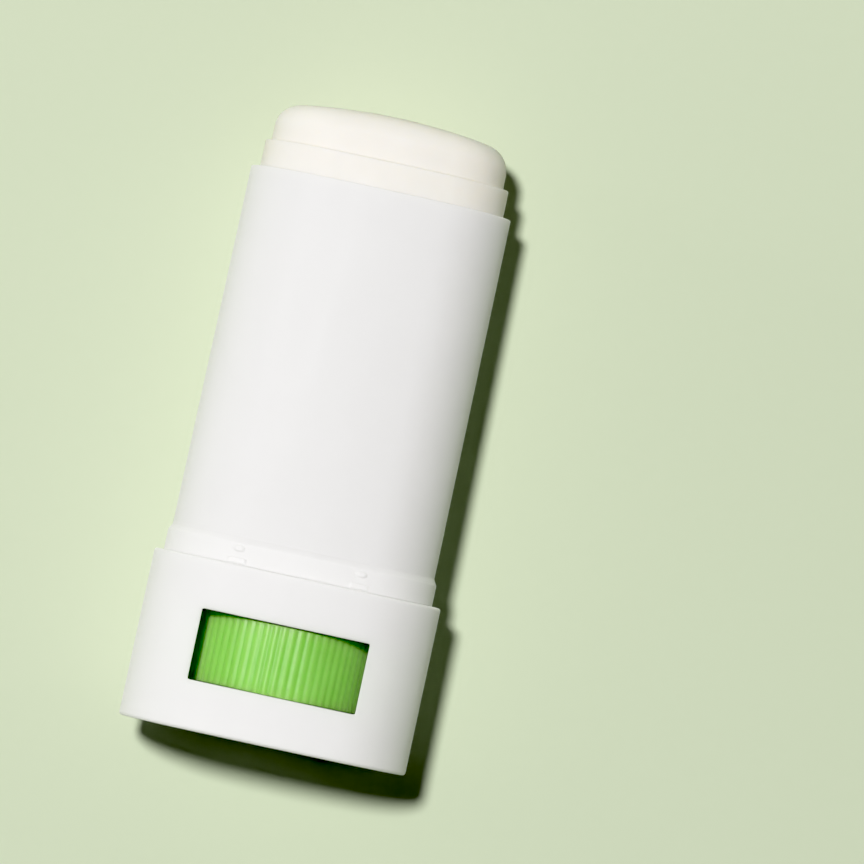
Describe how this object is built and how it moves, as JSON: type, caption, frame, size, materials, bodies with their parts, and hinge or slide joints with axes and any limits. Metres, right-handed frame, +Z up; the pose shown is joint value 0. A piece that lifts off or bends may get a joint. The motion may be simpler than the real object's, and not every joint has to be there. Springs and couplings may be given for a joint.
{
  "type": "sunscreen stick",
  "caption": "Uncapped twist-up sunscreen stick: oval barrel on a wider base, ribbed thumb dial in its windows, and a solid balm that a lead screw raises.",
  "frame": {"origin": "on the plane under the base's back, in the middle of the length and of the width", "axes": "the stick lies on its back: +Y runs along it from the base's foot to the balm's crown, +Z points up out of the front window, +X to the right with the balm away from the viewer"},
  "size_m": [0.036, 0.0782, 0.024],
  "materials": {
    "body_plastic": "satin white moulded polypropylene",
    "dial_plastic": "leaf green moulded polypropylene, semi-gloss",
    "inner_plastic": "natural white moulded acetal, satin",
    "balm": "warm ivory waxy solid, soft sheen"
  },
  "bodies": {
    "housing": {"base": "body_plastic", "barrel": "body_plastic"},
    "dial": {"dial_wheel": "dial_plastic", "lead_screw": "inner_plastic"},
    "lift": {"lift_platform": "inner_plastic", "balm": "balm"}
  },
  "joints": [
    {"name": "dial_turn", "type": "hinge", "parent": "housing", "child": "dial", "pos_m": [0, -0.0286, 0.012], "axis": [0, 1, 0], "range_deg": [-3790, 1145]},
    {"name": "balm_lift", "type": "slide", "parent": "housing", "child": "lift", "axis": [0, 1, 0], "range_m": [-0.00945, 0.0315]}
  ],
  "couplings": [
    {"joint": "dial_turn", "follows": "balm_lift", "rad_per_m": -2094.4}
  ]
}
